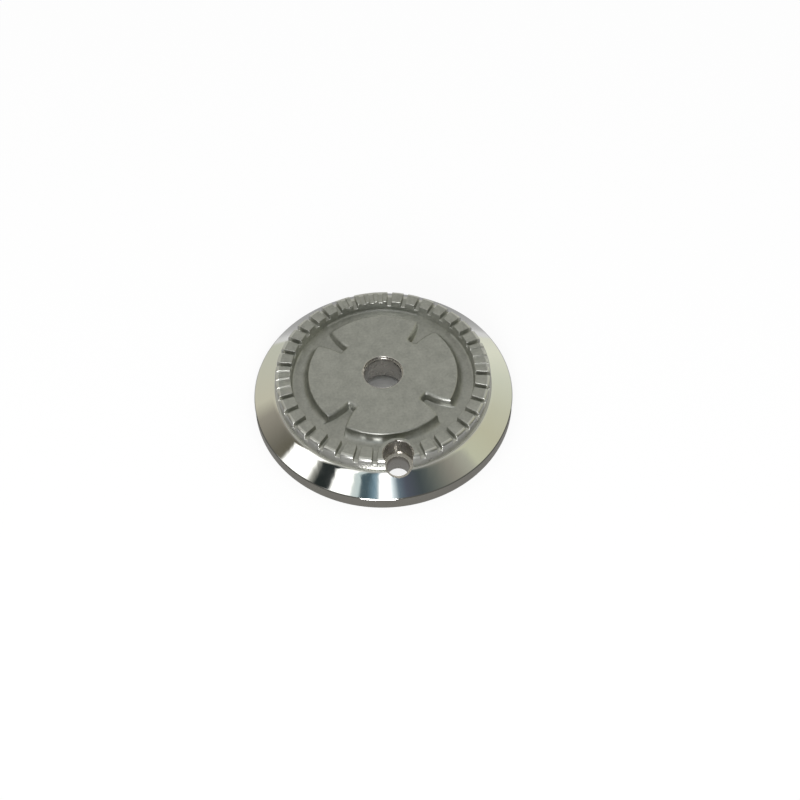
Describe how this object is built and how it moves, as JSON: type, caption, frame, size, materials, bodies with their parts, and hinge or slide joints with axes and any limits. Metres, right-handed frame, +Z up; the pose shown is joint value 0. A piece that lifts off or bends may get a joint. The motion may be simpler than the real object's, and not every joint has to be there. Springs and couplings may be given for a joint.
{
  "type": "gas burner injector holder",
  "caption": "Round cast burner crown with a toothed ring of flame slots round a notched disc, a central gas bore, a stepped electrode seat and a bright turned skirt.",
  "frame": {"origin": "on the casting's axis, in the plane of the rim face that it rests on", "axes": "+Z up along the gas bore, out of the disc; -Y towards the electrode seat; +X to the right seen from the seat"},
  "size_m": [0.1, 0.1, 0.0166],
  "materials": {
    "cast_aluminium": "satin as cast, the conical skirt turned bright"
  },
  "bodies": {
    "root": {"injector_holder": "cast_aluminium"}
  },
  "joints": []
}
